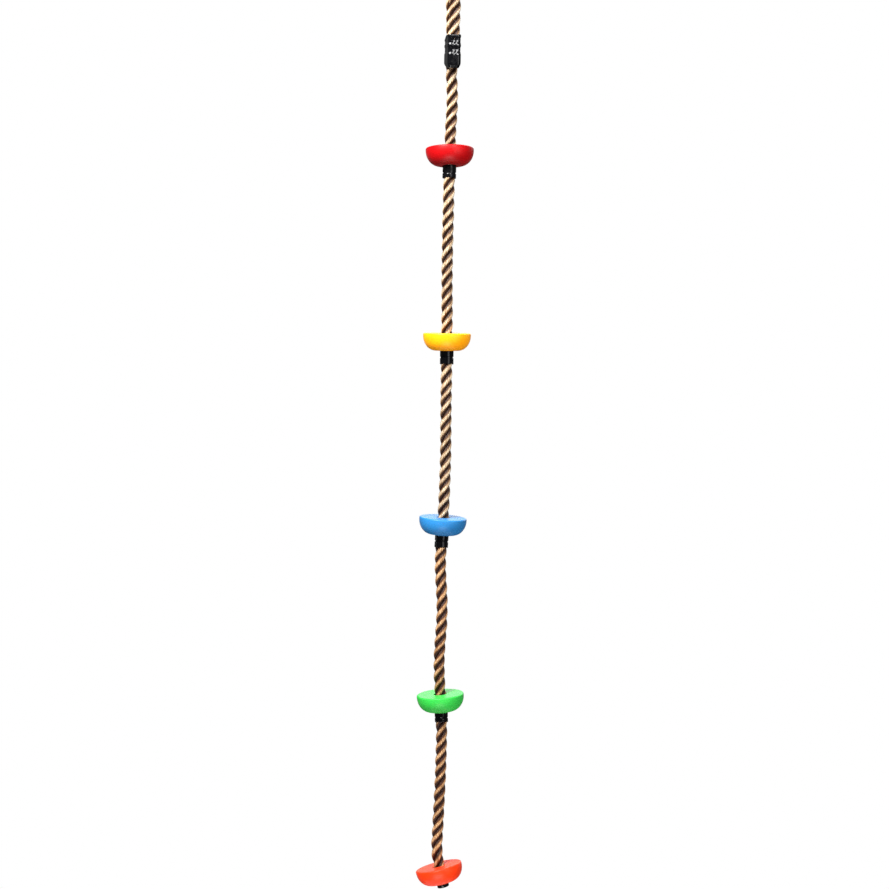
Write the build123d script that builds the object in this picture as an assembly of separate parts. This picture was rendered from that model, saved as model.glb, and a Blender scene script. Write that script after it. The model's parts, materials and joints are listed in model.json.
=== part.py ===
from build123d import *
from math import atan2, cos, degrees, pi, radians, sin, sqrt, tan
import os

# Climbing rope with five foot discs, in millimetres. The origin is where a hook bears inside the top of the
# hanging ring, +Z is up, and -Y is the front. The two legs of the eye lie one behind the other, along Y.

os.makedirs("parts", exist_ok=True)

# Hanging ring and eye
RING_INNER_R = 30.0
RING_WIRE_R = 4.0
RUNNING_GAP = 0.3
THIMBLE_EYE_R = 14.0
THIMBLE_HALF_WIDTH = 14.5
THIMBLE_DEPTH = 12.0
THIMBLE_LEG = 30.0
THIMBLE_SEAT_GAP = 0.2
EYE_CORNERS = 5

# Rope
ROPE_R = 12.0
EYE_ROPE_R = 31.0
SHARE_OF_RUN = 0.45
LEG_Y = 12.5
MOUTH_R = 70.0
MOUTH_CORNER_ABOVE = 7.0
BEND_RIM_DROP = 8.5
BEND_SOCKET_R = ROPE_R + RUNNING_GAP

# Top clamp, which holds the two legs of the eye side by side
CLAMP_TOP_Z = -190.0
CLAMP_BOTTOM_Z = -258.0
CLAMP_HALF_WIDTH = 14.0
CLAMP_HALF_DEPTH = 27.5
CLAMP_CORNER_R = 7.0
CLAMP_END_CHAMFER = 4.0
CLAMP_TOP_CHAMFER = 1.5
CLAMP_POCKET_FLOOR = 3.0
CLAMP_BORE_R = 11.7
CLAMP_BAND_DEPTH = 0.8
CLAMP_BANDS = (-206.0, -219.0)
CLAMP_BAND_HEIGHT = 3.0

# Foot disc: a cover pressed onto a bowl
DISC_R = 50.0
DISC_HEIGHT = 36.5
DISC_WALL = 2.6
DISC_FLAT_R = 24.0
RIM_EDGE_R = 3.0
COVER_DROP = 5.2
COVER_PLATE = 3.2
SPIGOT_DROP = 8.5
SPIGOT_GAP = 0.35
BOWL_CURVE_POWER = 2.0
BOWL_CURVE_POINTS = 8
TUNNEL_R = 13.4
TUNNEL_WALL = 2.8
TUNNEL_MEET = 17.5
TUNNEL_MOUTH_R = 1.6
RIB_COUNT = 6
RIB_THICKNESS = 2.0
RIB_ROOT = 0.5
COVER_RIB_DROP = 12.0
BOWL_RIB_TOP = 18.0

# Small clamps under the discs
SMALL_CLAMP_R = 13.1
SMALL_CLAMP_BORE_R = 11.4
FLANGE_OUT = 13.7
FLANGE_IN = 11.6
FLANGE_DEPTH = 5.0
FLANGE_FOOT = 1.2
GROOVE_DOWN = 12.5
GROOVE_HEIGHT = 3.0
GROOVE_DEPTH = 0.8
CLAMP_EDGE = 0.8
END_CAP_R = 12.6
END_CAP_BORE_R = 11.4
END_CAP_LENGTH = 10.0
END_CAP_FLOOR = 3.0
END_CAP_EDGE_R = 2.0
HEIGHT_STEPS = 40

# Each disc: height of its top face, its lean to the right and its lean to the back in degrees, then the
# length of the clamp under it and how far that clamp is turned about the rope
DISCS = {
    "red": (-421.4, -0.1, 9.0, 24.0, 16.0),
    "yellow": (-804.9, -0.1, 1.9, 27.0, 0.0),
    "blue": (-1193.4, 2.8, 0.0, 26.0, -4.0),
    "green": (-1571.8, -5.1, 0.6, 22.0, 3.0),
    "orange": (-1946.6, -13.8, 7.7, 0.0, 0.0),
}

# The rope's route below the top clamp. Each list runs from one bend to the next, and the bends are midway
# along the runs that join the lists.
BELOW_CLAMP = [(0.0, 12.5, -266.0), (4.0, 10.0, -324.0)]
PAST_RED = [(-0.3, 4.8, -378.0), (-3.6, -9.8, -478.0), (-4.9, -12.5, -574.0)]
PAST_YELLOW = [(-4.0, -6.0, -671.0), (-0.9, 1.6, -764.0), (-0.3, -1.5, -858.0), (-0.4, -3.0, -956.0)]
PAST_BLUE = [
    (1.7, 1.0, -1056.0),
    (0.4, 2.0, -1152.0),
    (-3.3, 2.0, -1238.0),
    (-6.7, 0.0, -1294.0),
    (1.5, -1.5, -1392.0),
]
PAST_GREEN = [(-5.5, -2.0, -1488.0), (-2.8, 1.9, -1541.0), (4.2, -0.4, -1638.0), (3.2, -1.5, -1732.0)]
TO_END = [(2.0, 2.5, -1798.0), (0.2, 5.0, -1862.0), (-2.6, 1.8, -1929.6), (12.3, -6.1, -1988.0)]

PIVOT_Z = -2 * RING_INNER_R - RING_WIRE_R
EYE_CENTRE_Z = -2 * RING_INNER_R + RUNNING_GAP - THIMBLE_EYE_R


def leg_angle():
    """The angle between a leg of the eye and the vertical, in radians."""
    drop = EYE_CENTRE_Z - CLAMP_TOP_Z - MOUTH_CORNER_ABOVE
    return atan2(EYE_ROPE_R, sqrt(drop**2 + LEG_Y**2 - EYE_ROPE_R**2)) - atan2(LEG_Y, drop)


def eye_points():
    """From the rope's cut end in the front of the clamp, up round the thimble and down the rear leg."""
    mouth_z = CLAMP_TOP_Z + MOUTH_CORNER_ABOVE
    dead_end_z = CLAMP_BOTTOM_Z + CLAMP_POCKET_FLOOR
    turn = (pi + 2 * leg_angle()) / EYE_CORNERS
    corner_r = EYE_ROPE_R / cos(turn / 2)
    points = [(0.0, -LEG_Y, dead_end_z), (0.0, -LEG_Y, mouth_z)]
    for i in range(EYE_CORNERS):
        angle = pi + leg_angle() - (i + 0.5) * turn
        points.append((0.0, corner_r * cos(angle), EYE_CENTRE_Z + corner_r * sin(angle)))
    points.append((0.0, LEG_Y, mouth_z))
    return points


def midway(a, b):
    return tuple((p + q) / 2 for p, q in zip(a, b))


def turn_at(before, corner, after):
    """How far the route turns at a corner, in radians."""
    return radians((Vector(*corner) - Vector(*before)).get_angle(Vector(*after) - Vector(*corner)))


def corner_radii(points):
    """The largest arc that the two runs at each corner allow, and the clamp's own mouth radius at its mouth."""
    radii = {}
    for before, corner, after in zip(points, points[1:], points[2:]):
        run = min((Vector(*corner) - Vector(*before)).length, (Vector(*after) - Vector(*corner)).length)
        radius = SHARE_OF_RUN * run / tan(turn_at(before, corner, after) / 2)
        if abs(corner[2] - CLAMP_TOP_Z - MOUTH_CORNER_ABOVE) < RUNNING_GAP:
            radius = MOUTH_R
        radii[corner] = radius
    return radii


def rope_tube(path):
    start = Plane(origin=path @ 0, z_dir=path % 0)
    tube = sweep(start * Circle(ROPE_R), path=path)
    section = pi * ROPE_R**2
    print(f"  length {path.length:.1f}, volume over section times length {tube.volume / section / path.length:.4f}")
    return tube


def bend_socket(bend, along):
    """What is taken off the top of a lower length of rope, so that the round end above it can turn in it."""
    down = Plane(origin=bend, z_dir=along)
    rim = down * Pos(0, 0, BEND_RIM_DROP / 2) * Cylinder(2 * ROPE_R, BEND_RIM_DROP)
    return rim + Pos(*bend) * Sphere(BEND_SOCKET_R)


def rope_paths():
    """The rope's centre line, cut into six paths at its five bends."""
    lists = [eye_points() + BELOW_CLAMP, PAST_RED, PAST_YELLOW, PAST_BLUE, PAST_GREEN, TO_END]
    radii = corner_radii([p for part in lists for p in part])
    for corner, radius in radii.items():
        print(f"  corner at {corner[0]:.1f}, {corner[1]:.1f}, {corner[2]:.1f}: radius {radius:.0f}")
    bends = [midway(upper[-1], lower[0]) for upper, lower in zip(lists, lists[1:])]
    paths = {}
    for name, top, points, bottom in zip(["eye", *DISCS], [None, *bends], lists, [*bends, None]):
        ends = [p for p in (top, *points, bottom) if p]
        paths[name] = FilletPolyline(*ends, radius=[radii[p] for p in ends[1:-1]])
    return paths


def rope_lengths(paths):
    """The rope, cut into six lengths that hinge on each other at its five bends."""
    names = list(paths)
    lengths = {}
    for name, path in paths.items():
        solid = rope_tube(path)
        if name != names[-1]:
            solid += Pos(*(path @ 1)) * Sphere(ROPE_R)
        if name != names[0]:
            solid -= bend_socket(path @ 0, path % 0)
        lengths[name] = solid
    return lengths


def share_at_height(path, z):
    """How far along a path that runs downwards it reaches a height, as a share of its length."""
    low, high = 0.0, 1.0
    for _ in range(HEIGHT_STEPS):
        middle = (low + high) / 2
        if (path @ middle).Z > z:
            low = middle
        else:
            high = middle
    return low


def disc_plane(name, path):
    """The disc's own frame: origin at the middle of its top face, z along its axis, upwards."""
    top_z, lean_right, lean_back = DISCS[name][:3]
    axis = Vector(tan(radians(lean_right)), tan(radians(lean_back)), 1).normalized()
    half = axis * (DISC_HEIGHT / 2)
    middle = path @ share_at_height(path, top_z - half.Z)
    return Plane(origin=middle + half, x_dir=Vector(axis.Z, 0, -axis.X), z_dir=axis)


def clamp_plane(name, path, length):
    """The frame of the clamp under a disc: z down the rope, origin just clear of the disc's underside."""
    disc = disc_plane(name, path)
    bottom = disc.origin - disc.z_dir * DISC_HEIGHT
    share = share_at_height(path, bottom.Z - length / 2)
    middle, down = path @ share, path % share
    mismatch = radians(down.get_angle(disc.z_dir * -1))
    reach = (middle - bottom).dot(disc.z_dir * -1) / cos(mismatch)
    gap = RUNNING_GAP + FLANGE_OUT * tan(mismatch)
    return Plane(origin=middle - down * (reach - gap), x_dir=Vector(-down.Z, 0, down.X), z_dir=down)


def ring():
    return Pos(0, 0, -RING_INNER_R) * Rot(X=90) * Torus(RING_INNER_R + RING_WIRE_R, RING_WIRE_R)


def thimble_section():
    """The thimble's cross-section in X and Y, with the eye's centre at the origin and the groove at +Y."""
    outer = Pos(0, THIMBLE_EYE_R + THIMBLE_DEPTH / 2) * Rectangle(2 * THIMBLE_HALF_WIDTH, THIMBLE_DEPTH)
    return outer - Pos(0, EYE_ROPE_R) * Circle(ROPE_R + THIMBLE_SEAT_GAP)


def thimble():
    """An open plastic thimble round the inside of the eye, with a saddle worn to the ring's curve."""
    centre = (0, 0, EYE_CENTRE_Z)
    swing = 90 + degrees(leg_angle())
    body = None
    for side in (1, -1):
        angle = radians(swing) * side
        outward = Vector(0, sin(angle), cos(angle))
        tangent = Vector(0, cos(angle), -sin(angle)) * side
        section = Plane(origin=centre, x_dir=(1, 0, 0), z_dir=Vector(1, 0, 0).cross(outward)) * thimble_section()
        leg = extrude(section, amount=THIMBLE_LEG, dir=tangent)
        body = leg if body is None else body + leg
    side_on = Plane(origin=centre, x_dir=(1, 0, 0), z_dir=(0, -1, 0)) * thimble_section()
    for side in (1, -1):
        body += revolve(side_on, Axis(centre, (-side, 0, 0)), swing)
    saddle_r = RING_INNER_R - RUNNING_GAP
    reach = THIMBLE_HALF_WIDTH + 1
    rise = sqrt(saddle_r**2 - reach**2)
    arc = ThreePointArc((-reach, -RING_INNER_R - rise), (0, -RING_INNER_R - saddle_r), (reach, -RING_INNER_R - rise))
    sides = Polyline(arc @ 1, (reach, PIVOT_Z), (-reach, PIVOT_Z), arc @ 0)
    saddle = revolve(Plane.XZ * make_face([arc, sides]), Axis((0, 0, PIVOT_Z), (1, 0, 0)), 360)
    return body - saddle


def top_clamp_halves():
    """Two shells that close on the two legs of the eye from the left and the right."""
    height = CLAMP_TOP_Z - CLAMP_BOTTOM_Z
    outline = RectangleRounded(2 * CLAMP_HALF_WIDTH, 2 * CLAMP_HALF_DEPTH, CLAMP_CORNER_R)
    block = extrude(Pos(0, 0, CLAMP_BOTTOM_Z) * outline, height)
    block = chamfer(block.faces().sort_by(Axis.Z)[0].edges(), CLAMP_END_CHAMFER)
    block = chamfer(block.faces().sort_by(Axis.Z)[-1].edges(), CLAMP_TOP_CHAMFER)
    for band_z in CLAMP_BANDS:
        keep = RectangleRounded(
            2 * (CLAMP_HALF_WIDTH - CLAMP_BAND_DEPTH), 2 * (CLAMP_HALF_DEPTH - CLAMP_BAND_DEPTH), CLAMP_CORNER_R
        )
        hoop = Rectangle(4 * CLAMP_HALF_WIDTH, 4 * CLAMP_HALF_DEPTH) - keep
        block -= extrude(Pos(0, 0, band_z) * hoop, CLAMP_BAND_HEIGHT / 2, both=True)
    pocket = height - CLAMP_POCKET_FLOOR
    front_bore = Pos(0, -LEG_Y, CLAMP_TOP_Z - pocket / 2) * Cylinder(CLAMP_BORE_R, pocket)
    rear_bore = Pos(0, LEG_Y, CLAMP_TOP_Z - height / 2) * Cylinder(CLAMP_BORE_R, height)
    shell = block - front_bore - rear_bore
    left_space = Pos(-CLAMP_HALF_WIDTH, 0, CLAMP_TOP_Z - height / 2) * Box(
        2 * CLAMP_HALF_WIDTH, 4 * CLAMP_HALF_DEPTH, 2 * height
    )
    return shell & left_space, shell - left_space


def disc_outline():
    """The disc's outer edge from the rim edge down to its flat underside, as a rounded cone."""
    width = DISC_R - DISC_FLAT_R
    drop = DISC_HEIGHT - COVER_DROP
    points = []
    for i in range(BOWL_CURVE_POINTS + 1):
        down = i / BOWL_CURVE_POINTS
        across = (1 - down**BOWL_CURVE_POWER) ** (1 / BOWL_CURVE_POWER)
        points.append((DISC_FLAT_R + width * across, -COVER_DROP - drop * down))
    return points


def ribs(inner, outer, top, bottom):
    """Radial ribs between two radii, as one group of slabs."""
    slab = Pos((inner + outer) / 2, 0, (top + bottom) / 2) * Box(outer - inner, RIB_THICKNESS, top - bottom)
    return [Rot(Z=360 / RIB_COUNT * i) * slab for i in range(RIB_COUNT)]


def tube_wall(top, bottom):
    """A length of the tube that the rope passes through."""
    height = top - bottom
    return Pos(0, 0, (top + bottom) / 2) * (Cylinder(TUNNEL_R + TUNNEL_WALL, height) - Cylinder(TUNNEL_R, height))


def disc_cover():
    """The flat round top, with its rim, the spigot that presses into the bowl, and ribs under the plate."""
    spigot_r = DISC_R - DISC_WALL - SPIGOT_GAP
    plate = Pos(0, 0, -COVER_DROP / 2) * Cylinder(DISC_R, COVER_DROP)
    plate = fillet(plate.edges().sort_by(Axis.Z)[-1], RIM_EDGE_R)
    spigot = Pos(0, 0, -SPIGOT_DROP / 2) * Cylinder(spigot_r, SPIGOT_DROP)
    hollow = Pos(0, 0, -COVER_PLATE - SPIGOT_DROP / 2) * Cylinder(spigot_r - DISC_WALL, SPIGOT_DROP)
    cover = plate + spigot - hollow
    cover += tube_wall(-COVER_PLATE, -TUNNEL_MEET + RUNNING_GAP)
    inner = TUNNEL_R + TUNNEL_WALL - RIB_ROOT
    outer = spigot_r - DISC_WALL + RIB_ROOT
    for rib in ribs(inner, outer, -COVER_PLATE + RIB_ROOT, -COVER_RIB_DROP):
        cover += rib
    bore = Pos(0, 0, -COVER_PLATE) * Cylinder(TUNNEL_R, 2 * COVER_PLATE)
    cover -= bore
    mouth = cover.edges().filter_by(GeomType.CIRCLE).group_by(Axis.Z)[-1].sort_by(SortBy.RADIUS)[0]
    return fillet(mouth, TUNNEL_MOUTH_R)


def disc_bowl():
    """The bowl: a thin wall down to a flat underside, the lower part of the tube, and ribs between them."""
    outline = disc_outline()
    side = Spline(*outline)
    face = make_face([side, Polyline(outline[-1], (0, -DISC_HEIGHT), (0, -COVER_DROP), outline[0])])
    solid = revolve(Plane.XZ * face, Axis.Z, 360)
    inner_points = [(r - DISC_WALL, z) for r, z in outline if z > -DISC_HEIGHT + DISC_WALL]
    inner_points.append((DISC_FLAT_R - DISC_WALL, -DISC_HEIGHT + DISC_WALL))
    inner_side = Spline(*inner_points)
    closing = Polyline(inner_points[-1], (0, inner_points[-1][1]), (0, -COVER_DROP), inner_points[0])
    hollow = revolve(Plane.XZ * make_face([inner_side, closing]), Axis.Z, 360)
    bowl = solid - hollow
    bowl += tube_wall(-TUNNEL_MEET, -DISC_HEIGHT + DISC_WALL / 2)
    for rib in ribs(TUNNEL_R + TUNNEL_WALL - RIB_ROOT, DISC_R, -BOWL_RIB_TOP, -DISC_HEIGHT + DISC_WALL / 2):
        bowl += rib & solid
    bowl -= Pos(0, 0, -DISC_HEIGHT) * Cylinder(TUNNEL_R, DISC_HEIGHT)
    mouth = bowl.edges().filter_by(GeomType.CIRCLE).group_by(Axis.Z)[0].sort_by(SortBy.RADIUS)[0]
    return fillet(mouth, CLAMP_EDGE)


def small_clamp_half(length, side):
    """Half of the clamp under a disc, in its own frame with z down the rope. side is -1 in front."""
    shell = Pos(0, 0, length / 2) * Cylinder(SMALL_CLAMP_R, length)
    shell = chamfer(shell.edges().filter_by(GeomType.CIRCLE), CLAMP_EDGE)
    groove = Cylinder(2 * SMALL_CLAMP_R, GROOVE_HEIGHT) - Cylinder(SMALL_CLAMP_R - GROOVE_DEPTH, GROOVE_HEIGHT)
    shell -= Pos(0, 0, GROOVE_DOWN + GROOVE_HEIGHT / 2) * groove
    flange_length = length + FLANGE_FOOT
    for edge in (1, -1):
        middle = edge * (FLANGE_IN + FLANGE_OUT) / 2
        shell += Pos(middle, 0, flange_length / 2) * Box(FLANGE_OUT - FLANGE_IN, 2 * FLANGE_DEPTH, flange_length)
    shell -= Pos(0, 0, length / 2) * Cylinder(SMALL_CLAMP_BORE_R, 2 * length)
    half_space = Pos(0, side * SMALL_CLAMP_R, 0) * Box(4 * SMALL_CLAMP_R, 2 * SMALL_CLAMP_R, 4 * length)
    return shell & half_space


def end_cap():
    """The closed cap on the rope's lower end, in the same frame as a small clamp."""
    cap = Pos(0, 0, END_CAP_LENGTH / 2) * Cylinder(END_CAP_R, END_CAP_LENGTH)
    cap = fillet(cap.edges().filter_by(GeomType.CIRCLE).sort_by(Axis.Z)[-1], END_CAP_EDGE_R)
    bore_length = END_CAP_LENGTH - END_CAP_FLOOR
    return cap - Pos(0, 0, bore_length / 2) * Cylinder(END_CAP_BORE_R, bore_length)


def write(node, solid):
    export_step(solid, f"parts/{node}.step")


def main():
    write("hanging_ring", ring())
    write("eye_thimble", thimble())
    left, right = top_clamp_halves()
    write("top_clamp_left", left)
    write("top_clamp_right", right)
    paths = rope_paths()
    for name, solid in rope_lengths(paths).items():
        write(f"rope_{name}", solid)
    cover = disc_cover()
    bowl = disc_bowl()
    for name, (_, _, _, clamp_length, clamp_turn) in DISCS.items():
        path = paths[name]
        place = disc_plane(name, path)
        print(f"{name}: bend at {path @ 0}, disc centre {place.origin}, axis {place.z_dir}")
        write(f"cover_{name}", place.location * cover)
        write(f"bowl_{name}", place.location * bowl)
        clamp_place = clamp_plane(name, path, clamp_length or END_CAP_LENGTH).location * Rot(Z=clamp_turn)
        if clamp_length:
            write(f"clamp_{name}_front", clamp_place * small_clamp_half(clamp_length, -1))
            write(f"clamp_{name}_rear", clamp_place * small_clamp_half(clamp_length, 1))
        else:
            write("end_cap", clamp_place * end_cap())


main()
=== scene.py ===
import json
import math

import bmesh
import bpy
import numpy as np
from mathutils import Matrix, Vector


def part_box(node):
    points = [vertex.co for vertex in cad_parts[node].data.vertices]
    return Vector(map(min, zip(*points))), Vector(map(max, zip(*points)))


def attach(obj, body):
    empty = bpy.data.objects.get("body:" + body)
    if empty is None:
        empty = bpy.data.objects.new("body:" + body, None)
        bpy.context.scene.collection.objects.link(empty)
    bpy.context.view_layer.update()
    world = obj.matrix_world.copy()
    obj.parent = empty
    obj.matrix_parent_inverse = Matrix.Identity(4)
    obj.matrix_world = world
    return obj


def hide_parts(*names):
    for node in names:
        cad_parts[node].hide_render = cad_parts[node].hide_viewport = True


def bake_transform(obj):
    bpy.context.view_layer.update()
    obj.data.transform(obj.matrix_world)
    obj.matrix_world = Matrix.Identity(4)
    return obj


# Children's climbing rope with five foot discs. Everything is in metres, in the CAD model's own frame: the
# origin is where a hook bears inside the top of the ring, +Z is up and -Y is the front.

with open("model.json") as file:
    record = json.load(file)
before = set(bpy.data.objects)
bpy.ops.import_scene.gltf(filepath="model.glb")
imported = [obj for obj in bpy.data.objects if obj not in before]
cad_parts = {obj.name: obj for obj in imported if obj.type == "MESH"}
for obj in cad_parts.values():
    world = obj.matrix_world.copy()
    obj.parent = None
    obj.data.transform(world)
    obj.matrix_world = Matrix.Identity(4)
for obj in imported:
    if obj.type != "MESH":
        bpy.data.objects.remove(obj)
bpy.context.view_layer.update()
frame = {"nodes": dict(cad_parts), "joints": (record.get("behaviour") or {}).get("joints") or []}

# Camera
LENS_MM = 92.7
SENSOR_MM = 36.0
CAMERA_TARGET = Vector((-0.0015, 0.0, -1.039))
CAMERA_DISTANCE = 4.809
CAMERA_PITCH_DEG = 6.0
CAMERA_AZIMUTH_DEG = 9.0
CAMERA_ROLL_DEG = 1.07

# Rope
ROPE_D = 0.024
ROPE_LENGTH = 2.2
STRANDS = 3
STRAND_R = 0.0056
HELIX_R = 0.0067
LAY = 0.0735
LAY_EASE = 0.19
YARNS = 11
VERTS_PER_YARN = 5
YARN_DEPTH = 0.00060
YARN_TWIST = -130.0
STATION_STEP = 0.002
SMOOTH_STEP = 0.001
SMOOTH_STATIONS = 13
STRAND_GAP_DEPTH = 0.22 * ROPE_D
STRAND_FLATTENING = 0.06

# The rope's unevenness: how much, and the length over which it swings
ROPE_WANDER = (0.16, 0.11)
STRAND_WANDER = (0.10, 0.045)
STRAND_SWELL = (0.030, 0.030)
HELIX_SWELL = (0.02, 0.05)
YARN_LIFT = (0.00012, 0.025)

# The rope's route, from its cut end in the front of the top clamp, up round the thimble, down through the
# clamp and then down through the five discs.
EYE_ROUTE = [
    (0.0, -0.0125, -0.255), (0.0, -0.0125, -0.183),
    (0.0, -0.0286, -0.0906), (0.0, -0.0325, -0.0679), (0.0, -0.0212, -0.0484), (0.0, 0.0, -0.0407),
    (0.0, 0.0212, -0.0484), (0.0, 0.0325, -0.0679), (0.0, 0.0286, -0.0906),
    (0.0, 0.0125, -0.183), (0.0, 0.0125, -0.266), (0.004, 0.010, -0.324),
]
RED_ROUTE = [(-0.0003, 0.0048, -0.378), (-0.0036, -0.0098, -0.478), (-0.0049, -0.0125, -0.574)]
YELLOW_ROUTE = [
    (-0.004, -0.006, -0.671), (-0.0009, 0.0016, -0.764),
    (-0.0003, -0.0015, -0.858), (-0.0004, -0.003, -0.956),
]
BLUE_ROUTE = [
    (0.0017, 0.001, -1.056), (0.0004, 0.002, -1.152), (-0.0033, 0.002, -1.238),
    (-0.0067, 0.0, -1.294), (0.0015, -0.0015, -1.392),
]
GREEN_ROUTE = [
    (-0.0055, -0.002, -1.488), (-0.0028, 0.0019, -1.541),
    (0.0042, -0.0004, -1.638), (0.0032, -0.0015, -1.732),
]
ORANGE_ROUTE = [
    (0.002, 0.0025, -1.798), (0.0002, 0.005, -1.862),
    (-0.0026, 0.0018, -1.9296), (0.0123, -0.0061, -1.988),
]
ROUTE = EYE_ROUTE + RED_ROUTE + YELLOW_ROUTE + BLUE_ROUTE + GREEN_ROUTE + ORANGE_ROUTE

# Discs and clamps
COLOURS = ["red", "yellow", "blue", "green", "orange"]
DISC_HEIGHT = 0.0365
CLAMP_LENGTHS = {"red": 0.024, "yellow": 0.027, "blue": 0.026, "green": 0.022}
CLAMP_TURNS_DEG = {"red": 16.0, "yellow": 0.0, "blue": -4.0, "green": 3.0}
CLAMP_R = 0.0132
CLAMP_BORE_R = 0.0114
CLAMP_EDGE = 0.0008
CLAMP_NECK_R = 0.0125
CLAMP_NECK_RISE = 0.0016
CLAMP_PARTING = 0.00012
CLAMP_SEAM_ANGLE = 0.012
CLAMP_SWELL = 0.0002
CLAMP_SWELL_EASE = 0.003
CLAMP_POINTS = 49
CLAMP_ROWS = 56
GROOVE_DOWN = 0.0125
GROOVE_HEIGHT = 0.003
GROOVE_DEPTH = 0.0003
FLANGE_OUT = 0.0137
FLANGE_IN = 0.0116
FLANGE_DEPTH = 0.005
FLANGE_FOOT = 0.0012
FLANGE_NOTCH = 0.0013
END_CAP_R = 0.0126
END_CAP_LENGTH = 0.010
# How far down each row of the end cap lies, and how far its side stands in there
END_CAP_PROFILE = [
    (0.0, 0.0003), (0.0004, 0.0), (0.0078, 0.0), (0.0088, 0.0004), (0.0096, 0.0013),
    (0.0100, 0.0028), (0.0100, 0.0100), (0.00985, 0.0106), (0.00985, 0.0116),
]
RUNNING_GAP = 0.0003

# Top clamp, with how far its side stands in at each height
TOP_CLAMP_HALF_WIDTH = 0.014
TOP_CLAMP_HALF_DEPTH = 0.0280
TOP_CLAMP_CORNER = 0.007
TOP_CLAMP_PROFILE = [
    (-0.1900, 0.0008), (-0.1915, 0.0002), (-0.1950, 0.0002), (-0.1975, 0.0015), (-0.2015, 0.0019),
    (-0.2100, 0.0001), (-0.2115, 0.0), (-0.2145, 0.0002), (-0.2175, 0.0016), (-0.2205, 0.0019),
    (-0.2290, 0.0001), (-0.2310, 0.0), (-0.2480, 0.0), (-0.2520, 0.0009), (-0.2580, 0.0040),
]
TOP_CLAMP_SHOULDERS = [(-0.2070, 0.0060), (-0.2265, 0.0055)]
TOP_CLAMP_LUMP = 0.0010
TOP_CLAMP_RIPPLE_WIDTH = 0.013
TOP_CLAMP_RIPPLE_HEIGHT = 0.0195
TOP_CLAMP_RIPPLE_SHIFT = 0.6
TOP_CLAMP_SIDE_LIMIT = 0.0010
TOP_CLAMP_END_LIMIT = 0.0019
TOP_CLAMP_REAR_DROP = 0.0095
TOP_CLAMP_REAR_RISE = 0.0045
TOP_CLAMP_FOOT_Z = -0.250
TOP_CLAMP_DROP_FROM = -0.210
TOP_CLAMP_DROP_OVER = 0.020
TOP_CLAMP_RISE_FROM = -0.240
TOP_CLAMP_RISE_OVER = 0.018
TOP_CLAMP_ROWS = 90

# Ring, with where its weld bead lies and how far round it reaches
RING_R = 0.034
WIRE_R = 0.004
WELD_ANGLE = 3.6
WELD_SPREAD = 0.09
WELD_SWELL = 0.10
WELD_RIPPLE = 0.25
WELD_RIPPLES = 60


# ---------------------------------------------------------------- small helpers
def linear(r, g, b):
    """A colour given in 0 to 255 as the eye sees it, for a shader."""
    out = []
    for v in (r, g, b):
        v = v / 255.0
        out.append(v / 12.92 if v <= 0.04045 else ((v + 0.055) / 1.055) ** 2.4)
    return (*out, 1.0)


def slow_noise(seed, at, spacing):
    """Smooth noise along a length, from -1 to 1, with about one swing in each spacing."""
    values = np.random.default_rng(seed).uniform(-1, 1, 4096)
    place = np.asarray(at) / spacing + 50
    cell = np.floor(place).astype(int)
    share = place - cell
    share = share * share * (3 - 2 * share)
    return values[cell % 4096] * (1 - share) + values[(cell + 1) % 4096] * share


def uneven(seed, at, swing):
    """Slow noise of a swing's amount and length."""
    amount, spacing = swing
    return amount * slow_noise(seed, at, spacing)


def smooth_step(low, high, x):
    """0 up to low and 1 from high on, with a smooth rise between them."""
    t = np.clip((np.asarray(x, float) - low) / (high - low), 0, 1)
    return t * t * (3 - 2 * t)


def mesh_object(name, points, faces, material):
    mesh = bpy.data.meshes.new(name)
    mesh.from_pydata([tuple(p) for p in points], [], faces)
    mesh.update()
    mesh.polygons.foreach_set("use_smooth", [True] * len(mesh.polygons))
    mesh.materials.append(material)
    made = bpy.data.objects.new(name, mesh)
    bpy.context.scene.collection.objects.link(made)
    return made


def tube_faces(rows, count):
    """The faces between rows of points, each row a closed loop of count points."""
    faces = []
    for low in range(0, (rows - 1) * count, count):
        high = low + count
        for i in range(count):
            j = (i + 1) % count
            faces.append((low + i, low + j, high + j, high + i))
    return faces


def circle(radius, count, z):
    """Points round a level circle about the Z axis."""
    angles = np.linspace(0, 2 * math.pi, count + 1)[:-1]
    return [(radius * math.cos(a), radius * math.sin(a), z) for a in angles]


def loft(loops):
    """A closed skin through loops of equal length, capped at both ends: points and faces."""
    count = len(loops[0])
    points = [tuple(p) for loop in loops for p in loop]
    faces = tube_faces(len(loops), count)
    faces.append(tuple(reversed(range(count))))
    last = (len(loops) - 1) * count
    faces.append(tuple(last + i for i in range(count)))
    return points, faces


def joined(parts):
    """Several pairs of points and faces as one."""
    points, faces = [], []
    for part_points, part_faces in parts:
        start = len(points)
        points.extend(part_points)
        faces.extend(tuple(start + i for i in face) for face in part_faces)
    return points, faces


# ---------------------------------------------------------------- materials
def add_node(tree, kind, **inputs):
    made = tree.nodes.new(kind)
    for name, value in inputs.items():
        made.inputs[name.replace("_", " ")].default_value = value
    return made


def object_place(tree):
    return tree.nodes.new("ShaderNodeTexCoord").outputs["Object"]


def attribute(tree, name):
    """The outputs of a node that reads one of the mesh's own attributes."""
    made = tree.nodes.new("ShaderNodeAttribute")
    made.attribute_name = name
    return made.outputs


def noise(tree, vector, scale, detail=3.0, roughness=0.55):
    made = add_node(tree, "ShaderNodeTexNoise", Scale=scale, Detail=detail, Roughness=roughness)
    tree.links.new(vector, made.inputs["Vector"])
    return made.outputs["Fac"]


def scaled(tree, vector, scale):
    made = add_node(tree, "ShaderNodeMapping", Scale=scale)
    tree.links.new(vector, made.inputs["Vector"])
    return made.outputs["Vector"]


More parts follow.
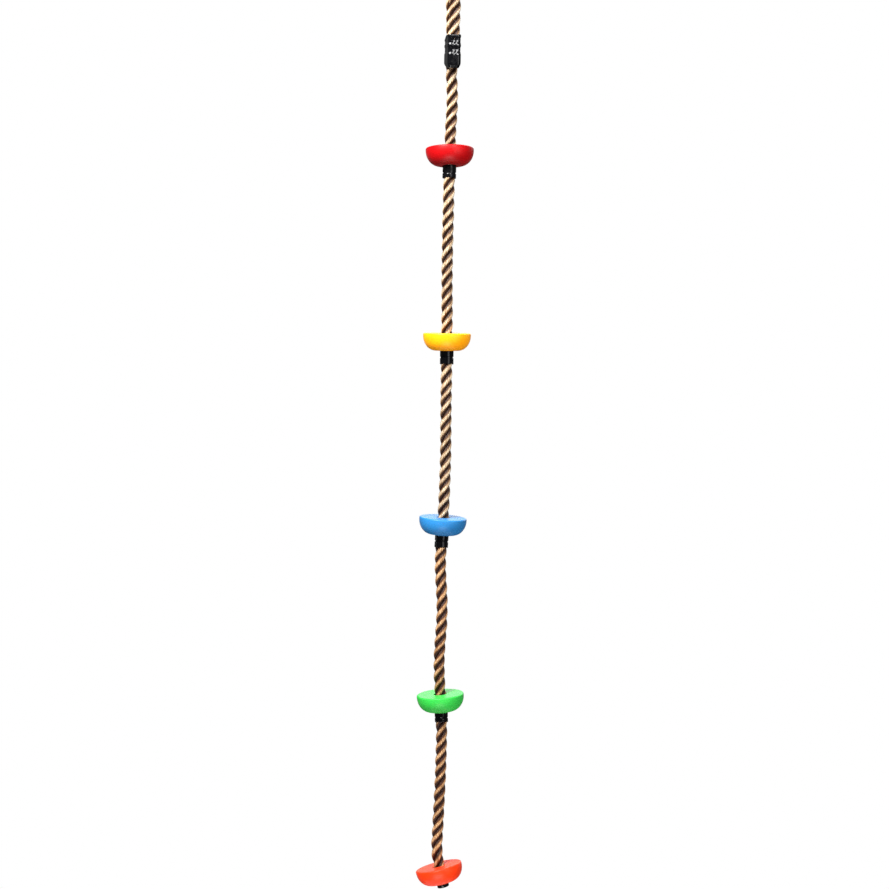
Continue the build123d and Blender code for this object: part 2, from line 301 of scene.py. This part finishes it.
def ramp(tree, value, stops):
    """A colour ramp through (position, colour or grey) stops."""
    made = tree.nodes.new("ShaderNodeValToRGB")
    elements = made.color_ramp.elements
    while len(elements) < len(stops):
        elements.new(0.5)
    for element, (position, colour) in zip(elements, stops):
        element.position = position
        element.color = colour if isinstance(colour, tuple) else (colour, colour, colour, 1)
    tree.links.new(value, made.inputs["Fac"])
    return made.outputs["Color"]


def mixed(tree, kind, share, a, b):
    made = tree.nodes.new("ShaderNodeMix")
    made.data_type = "RGBA"
    made.blend_type = kind
    for socket, value in ((made.inputs[0], share), (made.inputs[6], a), (made.inputs[7], b)):
        if isinstance(value, bpy.types.NodeSocket):
            tree.links.new(value, socket)
        else:
            socket.default_value = value
    return made.outputs[2]


def maths(tree, operation, *values):
    made = tree.nodes.new("ShaderNodeMath")
    made.operation = operation
    for socket, value in zip(made.inputs, values):
        if isinstance(value, bpy.types.NodeSocket):
            tree.links.new(value, socket)
        else:
            socket.default_value = value
    return made.outputs[0]


def bump(tree, shader, height, distance, strength=1.0, under=None):
    made = add_node(tree, "ShaderNodeBump", Strength=strength, Distance=distance)
    tree.links.new(height, made.inputs["Height"])
    if under is not None:
        tree.links.new(under, made.inputs["Normal"])
    tree.links.new(made.outputs["Normal"], shader.inputs["Normal"])
    return made.outputs["Normal"]


def start_material(name, **sockets):
    material = bpy.data.materials.new(name)
    material.use_nodes = True
    tree = material.node_tree
    shader = tree.nodes["Principled BSDF"]
    for socket, value in sockets.items():
        shader.inputs[socket.replace("_", " ")].default_value = value
    return material, tree, shader


def disc_plastic(name, colour, deep):
    """Glossy moulded plastic: faint flow mottling, fine orange peel and light scuffs."""
    material, tree, shader = start_material(
        name, Specular_IOR_Level=0.18, Subsurface_Weight=0.05, Subsurface_Scale=0.004,
        Sheen_Weight=0.08, Sheen_Roughness=0.3,
    )
    place = object_place(tree)
    flow = ramp(tree, noise(tree, place, 14.0, 4.0), [(0.35, deep), (0.62, colour)])
    speckle = ramp(tree, noise(tree, place, 900.0, 2.0), [(0.30, 0.93), (0.62, 1.0)])
    tree.links.new(mixed(tree, "MULTIPLY", 1.0, flow, speckle), shader.inputs["Base Color"])
    scuffs = noise(tree, scaled(tree, place, (60.0, 60.0, 420.0)), 6.0, 6.0, 0.7)
    tree.links.new(ramp(tree, scuffs, [(0.42, 0.36), (0.72, 0.52)]), shader.inputs["Roughness"])
    peel = bump(tree, shader, noise(tree, place, 420.0, 2.0), 0.0004, 0.10)
    bump(tree, shader, scuffs, 0.0003, 0.07, under=peel)
    return material


def black_plastic(name):
    """Glossy black nylon with fine grain and faint greyish rubbing."""
    material, tree, shader = start_material(name, Specular_IOR_Level=0.24)
    place = object_place(tree)
    rub = noise(tree, place, 160.0, 5.0, 0.65)
    tree.links.new(
        ramp(tree, rub, [(0.35, linear(5, 5, 7)), (0.60, linear(9, 9, 11)), (0.80, linear(30, 31, 34))]),
        shader.inputs["Base Color"],
    )
    tree.links.new(ramp(tree, rub, [(0.3, 0.11), (0.75, 0.22)]), shader.inputs["Roughness"])
    bump(tree, shader, noise(tree, place, 1100.0, 2.0), 0.0003, 0.03)
    return material


def ring_steel(name):
    """Zinc plated steel wire, with drawn lines round the wire and dull patches."""
    material, tree, shader = start_material(name, Metallic=1.0)
    place = object_place(tree)
    patches = noise(tree, place, 70.0, 5.0)
    tree.links.new(
        ramp(tree, patches, [(0.3, linear(150, 152, 156)), (0.7, linear(205, 207, 210))]),
        shader.inputs["Base Color"],
    )
    tree.links.new(ramp(tree, patches, [(0.3, 0.36), (0.7, 0.20)]), shader.inputs["Roughness"])
    bump(tree, shader, noise(tree, place, 1500.0, 3.0), 0.0002, 0.15)
    return material


def rope_fibre(name):
    """Tan polypropylene hemp. The mesh carries each point's place in its own straightened strand, which the
    fibre streaks follow, and how deep the point lies between the strands, from which painted shade darkens
    the grooves between strands, more so in the lower part. The lower part is browner."""
    material, tree, shader = start_material(
        name, Sheen_Weight=0.10, Sheen_Roughness=0.35, Specular_IOR_Level=0.25
    )
    fibre = attribute(tree, "fibre")["Vector"]
    depth = attribute(tree, "depth")["Fac"]
    yarn = attribute(tree, "yarn")["Fac"]
    streaks = noise(tree, scaled(tree, fibre, (2600.0, 2600.0, 90.0)), 1.0, 3.0, 0.6)
    broad = noise(tree, scaled(tree, fibre, (500.0, 500.0, 22.0)), 1.0, 2.0, 0.5)
    tan = ramp(
        tree,
        streaks,
        [(0.30, linear(118, 88, 60)), (0.48, linear(182, 160, 128)), (0.68, linear(254, 247, 230))],
    )
    tint = ramp(tree, broad, [(0.30, linear(190, 166, 140)), (0.60, linear(255, 253, 248))])
    coloured = mixed(tree, "MULTIPLY", 0.8, tan, tint)
    # Painted shade: the colour darkens in the valleys between the yarns, where the yarn share is low.
    seams = ramp(tree, yarn, [(0.0, linear(120, 92, 66)), (0.55, linear(255, 255, 255))])
    coloured = mixed(tree, "MULTIPLY", 0.75, coloured, seams)
    along = tree.nodes.new("ShaderNodeSeparateXYZ")
    tree.links.new(fibre, along.inputs["Vector"])
    share_of_rope = maths(tree, "MULTIPLY", along.outputs["Z"], 1 / ROPE_LENGTH)
    lower = ramp(tree, share_of_rope, [(0.62, 0.0), (0.68, 1.0)])
    browned = ramp(tree, lower, [(0.0, linear(255, 255, 255)), (1.0, linear(250, 222, 194))])
    coloured = mixed(tree, "MULTIPLY", 1.0, coloured, browned)
    # Painted shade: the colour darkens with depth between the strands, a little more in the lower part, and
    # on the centres of the cut ends.
    painted_groove_shade = ramp(
        tree,
        maths(tree, "MULTIPLY", depth, maths(tree, "MULTIPLY_ADD", lower, 0.10, 1.0)),
        [
            (0.0, linear(255, 255, 255)), (0.05, linear(214, 196, 176)),
            (0.12, linear(128, 98, 68)), (0.30, linear(66, 36, 13)),
        ],
    )
    tree.links.new(mixed(tree, "MULTIPLY", 1.0, coloured, painted_groove_shade), shader.inputs["Base Color"])
    tree.links.new(ramp(tree, streaks, [(0.3, 0.62), (0.7, 0.40)]), shader.inputs["Roughness"])
    bump(tree, shader, streaks, 0.0006, 0.55)
    return material


MATERIALS = {
    "steel": ring_steel("zinc_plated_steel"),
    "black_plastic": black_plastic("black_nylon"),
    "rope": rope_fibre("hemp_look_fibre"),
    "red": disc_plastic("red_plastic", linear(160, 5, 9), linear(146, 4, 8)),
    "yellow": disc_plastic("yellow_plastic", linear(255, 170, 17), linear(248, 157, 9)),
    "blue": disc_plastic("blue_plastic", linear(40, 114, 172), linear(33, 103, 162)),
    "green": disc_plastic("green_plastic", linear(50, 178, 66), linear(43, 167, 58)),
    "orange": disc_plastic("orange_plastic", linear(240, 60, 16), linear(230, 51, 12)),
}


# ---------------------------------------------------------------- rope
def spline_line(points):
    """The line of one open NURBS spline with these control points, as Blender evaluates it."""
    curve = bpy.data.curves.new("route", "CURVE")
    curve.dimensions = "3D"
    spline = curve.splines.new("NURBS")
    spline.points.add(len(points) - 1)
    for control, place in zip(spline.points, points):
        control.co = (*place, 1.0)
    spline.order_u = 3
    spline.use_endpoint_u = True
    spline.resolution_u = 40
    carrier = bpy.data.objects.new("route", curve)
    mesh = bpy.data.meshes.new_from_object(carrier)
    line = np.array([v.co for v in mesh.vertices], float)
    bpy.data.meshes.remove(mesh)
    bpy.data.objects.remove(carrier)
    bpy.data.curves.remove(curve)
    return line


class Route:
    """The rope's smooth centre line, with a frame that is carried along it without turning."""

    def __init__(self, line):
        along = np.concatenate([[0], np.cumsum(np.linalg.norm(np.diff(line, axis=0), axis=1))])
        self.length = along[-1]
        self.s = np.linspace(0, self.length, round(self.length / SMOOTH_STEP) + 1)
        self.p = np.stack([np.interp(self.s, along, line[:, k]) for k in range(3)], axis=1)
        tangent = np.gradient(self.p, self.s, axis=0)
        window = np.hanning(SMOOTH_STATIONS)
        window = window / window.sum()
        beside = SMOOTH_STATIONS // 2
        padded = np.pad(tangent, ((beside, beside), (0, 0)), mode="edge")
        tangent = np.stack([np.convolve(padded[:, k], window, "valid") for k in range(3)], axis=1)
        self.t = tangent / np.linalg.norm(tangent, axis=1)[:, None]
        side = np.zeros_like(self.p)
        side[0] = (1, 0, 0)
        for i in range(1, len(side)):
            carried = side[i - 1] - self.t[i] * (side[i - 1] @ self.t[i])
            side[i] = carried / np.linalg.norm(carried)
        self.n = side
        self.b = np.cross(self.t, self.n)

    def at(self, values, s):
        return np.stack([np.interp(s, self.s, values[:, k]) for k in range(3)], axis=1)

    def at_height(self, z):
        """The length along the rope at which its hanging part reaches a height."""
        top = int(np.argmax(self.p[:, 2]))
        falling = self.p[top:, 2]
        return float(np.interp(-z, -falling, self.s[top:]))

    def place(self, s):
        return Vector(self.at(self.p, [s])[0])

    def down(self, s):
        return Vector(self.at(self.t, [s])[0]).normalized()


route = Route(spline_line(ROUTE))


def strand_rings(s, strand):
    """One strand's skin between stations s: points, fibre coordinates, depth and yarn share."""
    wander = uneven(7 + strand, s, STRAND_WANDER)
    turn = 2 * math.pi * (s / LAY - LAY_EASE * s * s + strand / STRANDS)
    turn = turn + uneven(3, s, ROPE_WANDER) + wander
    swell = 1 + uneven(20 + strand, s, STRAND_SWELL)
    n, b, t = route.at(route.n, s), route.at(route.b, s), route.at(route.t, s)
    out = np.cos(turn)[:, None] * n + np.sin(turn)[:, None] * b
    around = np.cross(t, out)
    helix_r = HELIX_R * (1 + uneven(40 + strand, s, HELIX_SWELL))
    centre = route.at(route.p, s) + helix_r[:, None] * out
    lean = math.atan2(2 * math.pi * HELIX_R, LAY)
    across = math.cos(lean) * around - math.sin(lean) * t
    count = YARNS * VERTS_PER_YARN
    share = (np.arange(count) % VERTS_PER_YARN) / VERTS_PER_YARN
    ridge = np.sin(np.pi * share) ** 0.7
    yarn_angle = 2 * np.pi * np.arange(count) / count
    angle = yarn_angle[None, :] + YARN_TWIST * s[:, None]
    yarn = np.arange(count) // VERTS_PER_YARN
    lift = np.stack([uneven(100 + 16 * strand + int(k), s, YARN_LIFT) for k in yarn], axis=1)
    radius = STRAND_R * swell[:, None] - YARN_DEPTH * (1 - ridge)[None, :] + lift * ridge[None, :]
    flat = 1 + STRAND_FLATTENING * np.sin(angle) ** 2
    points = (
        centre[:, None, :]
        + (radius * np.cos(angle))[:, :, None] * out[:, None, :]
        + (radius * flat * np.sin(angle))[:, :, None] * across[:, None, :]
    )
    spun = np.broadcast_to(yarn_angle[None, :], angle.shape)
    fibre = np.stack(
        [
            STRAND_R * np.cos(spun) + 0.05 * strand,
            STRAND_R * np.sin(spun),
            np.broadcast_to(s[:, None], angle.shape),
        ],
        axis=2,
    )
    # How deep each point lies between the strands; the rope material paints shade into the grooves from it.
    from_middle = np.linalg.norm(points - route.at(route.p, s)[:, None, :], axis=2)
    depth = np.clip((ROPE_D / 2 - from_middle) / STRAND_GAP_DEPTH, 0, 1)
    return points, fibre, depth, np.broadcast_to(ridge[None, :], angle.shape)


def strand_skin(s, strand):
    points, fibre, depth, yarn = strand_rings(s, strand)
    rows, count = points.shape[:2]
    faces = tube_faces(rows, count)
    ends = np.array([points[0].mean(axis=0), points[-1].mean(axis=0)])
    first, last = rows * count, rows * count + 1
    top = (rows - 1) * count
    faces.extend((i, first, (i + 1) % count) for i in range(count))
    faces.extend((top + i, top + (i + 1) % count, last) for i in range(count))
    # The cut ends' centre points get depth 0.3, so the material paints them fully shaded.
    values = (
        np.concatenate([fibre.reshape(-1, 3), [fibre[0].mean(axis=0), fibre[-1].mean(axis=0)]]),
        np.concatenate([depth.ravel(), [0.3, 0.3]]),
        np.concatenate([yarn.ravel(), [0.5, 0.5]]),
    )
    return np.concatenate([points.reshape(-1, 3), ends]), faces, values


def rope_piece(name, start, end):
    """A length of three-strand rope between two lengths along the route, as one mesh."""
    s = np.linspace(start, end, round((end - start) / STATION_STEP) + 1)
    points, faces, fibres, depths, yarns = [], [], [], [], []
    total = 0
    for strand in range(STRANDS):
        strand_points, strand_faces, (fibre, depth, yarn) = strand_skin(s, strand)
        points.append(strand_points)
        faces.extend(tuple(total + i for i in face) for face in strand_faces)
        fibres.append(fibre)
        depths.append(depth)
        yarns.append(yarn)
        total += len(strand_points)
    made = mesh_object(name, np.concatenate(points), faces, MATERIALS["rope"])
    for label, kind, key, values in (
        ("fibre", "FLOAT_VECTOR", "vector", np.concatenate(fibres)),
        ("depth", "FLOAT", "value", np.concatenate(depths)),
        ("yarn", "FLOAT", "value", np.concatenate(yarns)),
    ):
        layer = made.data.attributes.new(label, kind, "POINT")
        layer.data.foreach_set(key, values.astype(np.float32).ravel())
    return made


def joint_place(name):
    return Vector(next(j["pos_m"] for j in frame["joints"] if j["name"] == name))


def joint_axis(name):
    return Vector(next(j["axis"] for j in frame["joints"] if j["name"] == name)).normalized()


def clamp_height(name):
    """The height of the middle of the clamp under a disc, or of the cap on the rope's end."""
    nodes = ["end_cap"] if name == "orange" else [f"clamp_{name}_front", f"clamp_{name}_rear"]
    boxes = [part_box(node) for node in nodes]
    return (min(low.z for low, _ in boxes) + max(high.z for _, high in boxes)) / 2


def build_rope():
    seams = [0.0, route.at_height((TOP_CLAMP_PROFILE[0][0] + TOP_CLAMP_PROFILE[-1][0]) / 2)]
    seams += [route.at_height(clamp_height(name)) for name in COLOURS[:-1]]
    seams.append(route.length)
    eye = rope_piece("rope_round_eye", seams[0], seams[1])
    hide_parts("rope_eye")
    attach(eye, "eye")
    for name, start, end in zip(COLOURS, seams[1:], seams[2:]):
        piece = rope_piece(f"rope_above_{name}", start, end)
        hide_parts(f"rope_{name}")
        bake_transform(piece)


# ---------------------------------------------------------------- clamps
def band(at, middle, half_width):
    """1 in the middle of a band and 0 at its edges."""
    return np.clip(1 - np.abs(np.asarray(at) - middle) / half_width, 0, 1)


def top_clamp_outline():
    """Half of the top clamp's rounded outline, from front to rear on the right, with its outward normals."""
    w, d, c = TOP_CLAMP_HALF_WIDTH, TOP_CLAMP_HALF_DEPTH, TOP_CLAMP_CORNER
    points = [(x, -d, 0.0, -1.0) for x in np.linspace(CLAMP_PARTING, w - c, 8, endpoint=False)]
    for a in np.linspace(-math.pi / 2, 0, 14, endpoint=False):
        points.append((w - c + c * math.cos(a), -d + c + c * math.sin(a), math.cos(a), math.sin(a)))
    points += [(w, y, 1.0, 0.0) for y in np.linspace(-d + c, d - c, 40, endpoint=False)]
    for a in np.linspace(0, math.pi / 2, 14, endpoint=False):
        points.append((w - c + c * math.cos(a), d - c + c * math.sin(a), math.cos(a), math.sin(a)))
    points += [(x, d, 0.0, 1.0) for x in np.linspace(w - c, CLAMP_PARTING, 9)]
    return np.array(points)


def top_clamp_half(side):
    """One half of the top clamp: a smooth body below two swollen shoulders with slanting ripples."""
    outline = top_clamp_outline()
    steps = np.linalg.norm(np.diff(outline[:, :2], axis=0), axis=1)
    around = np.concatenate([[0], np.cumsum(steps)])
    heights, insets = np.array(TOP_CLAMP_PROFILE).T
    limit = TOP_CLAMP_SIDE_LIMIT + (TOP_CLAMP_END_LIMIT - TOP_CLAMP_SIDE_LIMIT) * np.abs(outline[:, 3])
    loops = []
    for z in np.linspace(heights[0], heights[-1], TOP_CLAMP_ROWS):
        inset = np.interp(-z, -heights, insets)
        on_shoulder = sum(band(z, middle, half) for middle, half in TOP_CLAMP_SHOULDERS)
        phase = around / TOP_CLAMP_RIPPLE_WIDTH - side * z / TOP_CLAMP_RIPPLE_HEIGHT
        ripple = np.sin(2 * np.pi * phase - TOP_CLAMP_RIPPLE_SHIFT * side)
        push = -inset - TOP_CLAMP_LUMP * on_shoulder * (0.5 + 0.5 * ripple) * outline[:, 3] ** 2
        if z > TOP_CLAMP_FOOT_Z:
            push = np.maximum(push, -limit)
        x = np.maximum(outline[:, 0] + outline[:, 2] * push, CLAMP_PARTING)
        y = outline[:, 1] + outline[:, 3] * push
        rear = smooth_step(0, TOP_CLAMP_HALF_DEPTH, y)
        drop = np.clip((z - TOP_CLAMP_DROP_FROM) / TOP_CLAMP_DROP_OVER, 0, 1)
        rise = np.clip((TOP_CLAMP_RISE_FROM - z) / TOP_CLAMP_RISE_OVER, 0, 1)
        height = z - TOP_CLAMP_REAR_DROP * rear * drop + TOP_CLAMP_REAR_RISE * rear * rise
        loops.append([(side * px, py, pz) for px, py, pz in zip(x, y, height)])
    return loft(loops)


def clamp_frame(name, length):
    """The frame of what sits under a disc: z down the rope, just clear of the disc's underside."""
    top, axis = joint_place(f"disc_{name}_spin"), joint_axis(f"disc_{name}_spin")
    under = top - axis * DISC_HEIGHT
    at = route.at_height(under.z - length / 2)
    middle, down = route.place(at), route.down(at)
    slope = down.dot(-axis)
    gap = RUNNING_GAP + FLANGE_OUT * math.tan(math.acos(min(slope, 1.0)))
    origin = middle - down * ((middle - under).dot(-axis) / slope - gap)
    side = Vector((-down.z, 0, down.x)).normalized()
    return Matrix.Translation(origin) @ Matrix((side, down.cross(side), down)).transposed().to_4x4()


def wall_lines(radius, angles, side, z):
    """The outer and the inner line of a small clamp's half shell at one height."""
    outer = [(q * math.cos(a), side * q * math.sin(a), z) for q, a in zip(radius, angles)]
    inner = [(CLAMP_BORE_R * math.cos(a), side * CLAMP_BORE_R * math.sin(a), z) for a in reversed(angles)]
    return outer, inner


def small_clamp_wall(length, side, seed):
    """The half shell of a small clamp, ring by ring down the rope, swollen a little over the strands. A thin
    neck reaches into the disc above."""
    angles = np.linspace(CLAMP_SEAM_ANGLE, math.pi - CLAMP_SEAM_ANGLE, CLAMP_POINTS)
    neck = np.full(CLAMP_POINTS, CLAMP_NECK_R)
    loops = [wall_lines(neck, angles, side, z) for z in (-CLAMP_NECK_RISE, 0.0)]
    for z in np.linspace(0, length, CLAMP_ROWS):
        end = min(z, length - z)
        edge = CLAMP_EDGE - math.sqrt(max(CLAMP_EDGE**2 - max(CLAMP_EDGE - end, 0) ** 2, 0))
        in_groove = band(z, GROOVE_DOWN + GROOVE_HEIGHT / 2, GROOVE_HEIGHT)
        groove = GROOVE_DEPTH * float(smooth_step(0, 0.5, in_groove))
        strands = np.cos(STRANDS * (angles - 2 * math.pi * z / LAY) + seed)
        swell = CLAMP_SWELL * (strands - 1) / 2 * min(end / CLAMP_SWELL_EASE, 1)
        radius = CLAMP_R - edge - groove + swell
        loops.append(wall_lines(radius, angles, side, z))
    return c_shell(loops)


def c_shell(loops):
    """A closed skin through C-shaped loops, each given as an outer and an inner line of points."""
    count = len(loops[0][0])
    points = [p for outer, inner in loops for p in outer + inner]
    ring = 2 * count
    faces = tube_faces(len(loops), ring)
    for start in (0, (len(loops) - 1) * ring):
        for i in range(count - 1):
            faces.append((start + i, start + i + 1, start + ring - 2 - i, start + ring - 1 - i))
    return points, faces


def flange_bar(length, side, edge):
    """One of the bars where the two halves of a small clamp meet."""
    round_off = 0.0007
    corners = [
        (FLANGE_IN, CLAMP_PARTING), (FLANGE_OUT - 0.0002, CLAMP_PARTING), (FLANGE_OUT, 0.0004),
        (FLANGE_OUT, FLANGE_DEPTH - round_off), (FLANGE_OUT - round_off, FLANGE_DEPTH),
        (FLANGE_IN, FLANGE_DEPTH),
    ]
    loops = []
    foot = length + FLANGE_FOOT
    top, bottom, taper = GROOVE_DOWN - 0.0003, GROOVE_DOWN + GROOVE_HEIGHT + 0.0003, 0.001
    heights = (0.0, 0.0005, top, top + taper, bottom - taper, bottom, foot - 0.0006, foot)
    for z, pull in zip(heights, (0.0005, 0.0, 0.0, FLANGE_NOTCH, FLANGE_NOTCH, 0.0, 0.0, 0.0006)):
        loops.append([(edge * (x - pull * (x > FLANGE_IN)), side * y, z) for x, y in corners])
    return loft(loops)


def placed(part, matrix):
    points, faces = part
    return [tuple(matrix @ Vector(p)) for p in points], faces


def facing_out(made):
    """Turns every face of a mesh outwards."""
    work = bmesh.new()
    work.from_mesh(made.data)
    bmesh.ops.recalc_face_normals(work, faces=work.faces)
    work.to_mesh(made.data)
    work.free()
    return made


def edged(made, angle_deg=35.0):
    """Keeps the edges that turn by more than this angle crisp."""
    made.data.set_sharp_from_angle(angle=math.radians(angle_deg))
    return made


def build_small_clamps():
    for index, (name, length) in enumerate(CLAMP_LENGTHS.items()):
        place = clamp_frame(name, length) @ Matrix.Rotation(math.radians(CLAMP_TURNS_DEG[name]), 4, "Z")
        for half, side in (("front", -1), ("rear", 1)):
            wall = small_clamp_wall(length, side, 1.7 * index)
            bars = [flange_bar(length, side, edge) for edge in (1, -1)]
            points, faces = placed(joined([wall, *bars]), place)
            made = mesh_object(f"clamp_{name}_{half}_shell", points, faces, MATERIALS["black_plastic"])
            edged(facing_out(made))
            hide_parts(f"clamp_{name}_{half}")
            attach(made, f"section_{name}")


def build_end_cap():
    """A low round cap on the rope's lower end, with a soft lower edge and a small moulding pip."""
    loops = [circle(END_CAP_R - inset, 64, z) for z, inset in END_CAP_PROFILE]
    points, faces = placed(loft(loops), clamp_frame("orange", END_CAP_LENGTH))
    made = mesh_object("end_cap_moulding", points, faces, MATERIALS["black_plastic"])
    edged(facing_out(made))
    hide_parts("end_cap")
    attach(made, "section_orange")


def build_top_clamp():
    for half, side in (("left", -1), ("right", 1)):
        points, faces = top_clamp_half(side)
        made = mesh_object(f"top_clamp_{half}_shell", points, faces, MATERIALS["black_plastic"])
        edged(facing_out(made), 50.0)
        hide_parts(f"top_clamp_{half}")
        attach(made, "eye")


def build_ring():
    """The ring, bent from round wire, with a weld bead low on its left."""
    loops = []
    for turn in np.linspace(0, 2 * math.pi, 161)[:-1]:
        off_weld = math.atan2(math.sin(turn - WELD_ANGLE), math.cos(turn - WELD_ANGLE))
        bead = math.exp(-((off_weld / WELD_SPREAD) ** 2))
        wave = WELD_RIPPLE * math.sin(turn * WELD_RIPPLES) * bead
        q = WIRE_R * (1 + WELD_SWELL * bead + WELD_SWELL * wave)
        out = Vector((math.cos(turn), 0, math.sin(turn)))
        middle = Vector((0, 0, -RING_R + WIRE_R)) + out * RING_R
        loops.append([middle + q * (math.cos(a) * out + math.sin(a) * Vector((0, 1, 0)))
                      for a in np.linspace(0, 2 * math.pi, 33)[:-1]])
    count = len(loops[0])
    total = len(loops) * count
    faces = [tuple(i % total for i in face) for face in tube_faces(len(loops) + 1, count)]
    made = mesh_object("ring_wire", [p for loop in loops for p in loop], faces, MATERIALS["steel"])
    facing_out(made)
    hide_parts("hanging_ring")
    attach(made, "hanger")


# ---------------------------------------------------------------- camera, light and floor
WALL_LIGHT = 2.6
FLOOR_R = 1.25
FLOOR_Z = -3.6


def build_camera():
    pitch, azimuth, roll = (math.radians(v) for v in (CAMERA_PITCH_DEG, CAMERA_AZIMUTH_DEG, CAMERA_ROLL_DEG))
    forward = Vector((
        math.sin(azimuth) * math.cos(pitch),
        math.cos(azimuth) * math.cos(pitch),
        -math.sin(pitch),
    ))
    right = forward.cross(Vector((0, 0, 1))).normalized()
    up = right.cross(forward)
    rolled_right = right * math.cos(roll) + up * math.sin(roll)
    rolled_up = up * math.cos(roll) - right * math.sin(roll)
    data = bpy.data.cameras.new("camera")
    data.lens = LENS_MM
    data.sensor_width = SENSOR_MM
    data.clip_end = 50.0
    camera = bpy.data.objects.new("camera", data)
    bpy.context.scene.collection.objects.link(camera)
    turned = Matrix((rolled_right, rolled_up, -forward)).transposed()
    camera.matrix_world = Matrix.Translation(CAMERA_TARGET - forward * CAMERA_DISTANCE) @ turned.to_4x4()
    bpy.context.scene.camera = camera


def area_light(name, place, target, size, power):
    data = bpy.data.lights.new(name, "AREA")
    data.shape = "RECTANGLE"
    data.size, data.size_y = size
    data.energy = power
    lamp = bpy.data.objects.new(name, data)
    lamp.location = place
    lamp.rotation_mode = "QUATERNION"
    lamp.rotation_quaternion = (Vector(target) - Vector(place)).to_track_quat("-Z", "Y")
    bpy.context.scene.collection.objects.link(lamp)


def build_world():
    """White to the camera; to everything else a dim room, lighter above, with a white wall high up behind on
    the right."""
    world = bpy.data.worlds.new("studio")
    world.use_nodes = True
    tree = world.node_tree
    backdrop = tree.nodes["Background"]
    backdrop.inputs["Color"].default_value = (1, 1, 1, 1)
    backdrop.inputs["Strength"].default_value = 1.0
    split = tree.nodes.new("ShaderNodeSeparateXYZ")
    tree.links.new(tree.nodes.new("ShaderNodeTexCoord").outputs["Generated"], split.inputs["Vector"])
    across, back, height = (maths(tree, "MULTIPLY_ADD", split.outputs[axis], 0.5, 0.5) for axis in "XYZ")
    ambient = tree.nodes.new("ShaderNodeBackground")
    room = ramp(tree, height, [(0.3, 0.04), (0.55, 0.12), (0.9, 0.20)])
    behind = ramp(tree, back, [(0.60, 0.0), (0.80, 1.0)])
    high_up = ramp(tree, height, [(0.540, 0.0), (0.570, 1.0)])
    on_right = ramp(tree, across, [(0.46, 0.0), (0.53, 1.0)])
    wall = maths(tree, "MULTIPLY", maths(tree, "MULTIPLY", behind, high_up), on_right)
    wall = maths(tree, "MULTIPLY", wall, WALL_LIGHT)
    tree.links.new(mixed(tree, "LIGHTEN", 1.0, room, wall), ambient.inputs["Color"])
    ambient.inputs["Strength"].default_value = 1.0
    seen = tree.nodes.new("ShaderNodeLightPath")
    mix = tree.nodes.new("ShaderNodeMixShader")
    tree.links.new(seen.outputs["Is Camera Ray"], mix.inputs["Fac"])
    tree.links.new(ambient.outputs["Background"], mix.inputs[1])
    tree.links.new(backdrop.outputs["Background"], mix.inputs[2])
    tree.links.new(mix.outputs["Shader"], tree.nodes["World Output"].inputs["Surface"])
    bpy.context.scene.world = world
    bpy.context.scene.view_settings.view_transform = "Standard"


def build_floor():
    material, tree, shader = start_material("studio_floor", Roughness=0.7)
    place = object_place(tree)
    tree.links.new(
        ramp(tree, noise(tree, place, 3.0), [(0.3, linear(236, 236, 236)), (0.7, linear(242, 242, 242))]),
        shader.inputs["Base Color"],
    )
    rim = circle(FLOOR_R, 96, FLOOR_Z)
    floor = mesh_object("studio_floor", rim, [tuple(range(len(rim)))], material)


def build_lights():
    area_light("key", (-1.6, -1.5, 1.5), (0, 0, -1.1), (1.5, 1.5), 355.0)
    area_light("sparkle", (0.6, -2.3, 0.85), (0, 0, -0.3), (0.9, 0.5), 54.0)
    area_light("right_fill", (1.8, -3.4, -0.8), (0, 0, -0.9), (2.0, 2.4), 46.0)
    area_light("low_fill", (-0.3, -1.9, -3.2), (0, 0, -1.4), (1.4, 0.9), 42.0)


# ---------------------------------------------------------------- carried-over CAD nodes
def finish_cad_node(node, material):
    made = frame["nodes"][node]
    made.data.materials.clear()
    made.data.materials.append(MATERIALS[material])


def finish_cad():
    finish_cad_node("eye_thimble", "black_plastic")
    for name in COLOURS:
        for part in ("cover", "bowl"):
            finish_cad_node(f"{part}_{name}", name)


build_camera()
build_world()
build_lights()
build_floor()
build_rope()
build_ring()
build_top_clamp()
build_small_clamps()
build_end_cap()
finish_cad()
